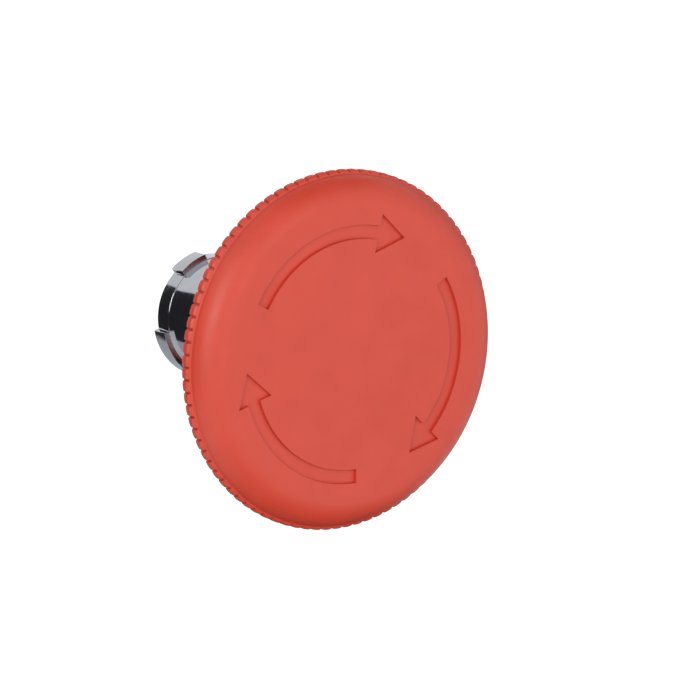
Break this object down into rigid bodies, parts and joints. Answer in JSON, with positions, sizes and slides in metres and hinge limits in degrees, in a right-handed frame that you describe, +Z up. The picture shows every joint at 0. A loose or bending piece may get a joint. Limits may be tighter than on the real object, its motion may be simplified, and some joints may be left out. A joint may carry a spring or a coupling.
{
  "type": "emergency stop button head",
  "caption": "Round mushroom push button with curved arrows on its face: push to latch, turn clockwise to release. Lugged metal barrel behind for a round panel hole.",
  "frame": {"origin": "centre of the panel's front face, where the gasket seats, on the operating axis", "axes": "+Y runs back along the operating axis, from the cap through the panel to the barrel's rear; the cap faces -Y; +Z is up, towards the key that fits the notch in the panel hole"},
  "size_m": [0.06, 0.0447, 0.06],
  "materials": {
    "red_moulding": "satin moulded plastic",
    "black_moulding": "fine matt moulded plastic",
    "grey_moulding": "matt moulded plastic",
    "chrome_plating": "bright chrome plating on cast zinc",
    "steel_parts": "turned",
    "spring_steel": "drawn wire and stamped strip",
    "brass_parts": "turned",
    "black_rubber": "matt nitrile rubber"
  },
  "bodies": {
    "fixed_body": {"bezel_body": "chrome_plating", "panel_gasket": "black_rubber", "wiper_seal": "black_rubber", "guide_bush": "black_moulding", "stem_o_ring": "black_rubber", "latch_ring_spring": "spring_steel", "return_spring": "spring_steel", "torsion_spring": "spring_steel", "rear_cover": "black_moulding", "rear_circlip": "spring_steel"},
    "pusher": {"contact_plunger": "grey_moulding", "plunger_snap_ring": "spring_steel"},
    "head": {"mushroom_cap": "red_moulding", "cap_hub": "black_moulding", "cap_clip": "spring_steel", "hub_screw": "steel_parts", "screw_washer": "steel_parts", "thrust_washer": "brass_parts", "stem": "steel_parts", "cam_sleeve": "grey_moulding", "drive_pin": "steel_parts", "stem_e_clip": "spring_steel"},
    "latch_a": {"latch_pin_a": "brass_parts"},
    "latch_b": {"latch_pin_b": "brass_parts"},
    "latch_c": {"latch_pin_c": "brass_parts"}
  },
  "joints": [
    {"name": "head_push", "type": "slide", "parent": "fixed_body", "child": "pusher", "axis": [0, 1, 0], "range_m": [0, 0.0045], "stiffness_N_per_m": 3500, "springref_m": -0.003, "deforming": ["return_spring"]},
    {"name": "head_turn", "type": "hinge", "parent": "pusher", "child": "head", "pos_m": [0, 0, 0], "axis": [0, 1, 0], "range_deg": [0, 45], "stiffness_Nm_per_rad": 0.25, "springref_deg": -11.46, "deforming": ["torsion_spring"]},
    {"name": "latch_a_in", "type": "slide", "parent": "fixed_body", "child": "latch_a", "axis": [0, 0, -1], "range_m": [0, 0.0009]},
    {"name": "latch_b_in", "type": "slide", "parent": "fixed_body", "child": "latch_b", "axis": [0.866, 0, 0.5], "range_m": [0, 0.0009]},
    {"name": "latch_c_in", "type": "slide", "parent": "fixed_body", "child": "latch_c", "axis": [-0.866, 0, 0.5], "range_m": [0, 0.0009]}
  ],
  "couplings": [
    {"joint": "latch_a_in", "follows": "head_push", "ratio": 0.2},
    {"joint": "latch_b_in", "follows": "head_push", "ratio": 0.2},
    {"joint": "latch_c_in", "follows": "head_push", "ratio": 0.2}
  ]
}
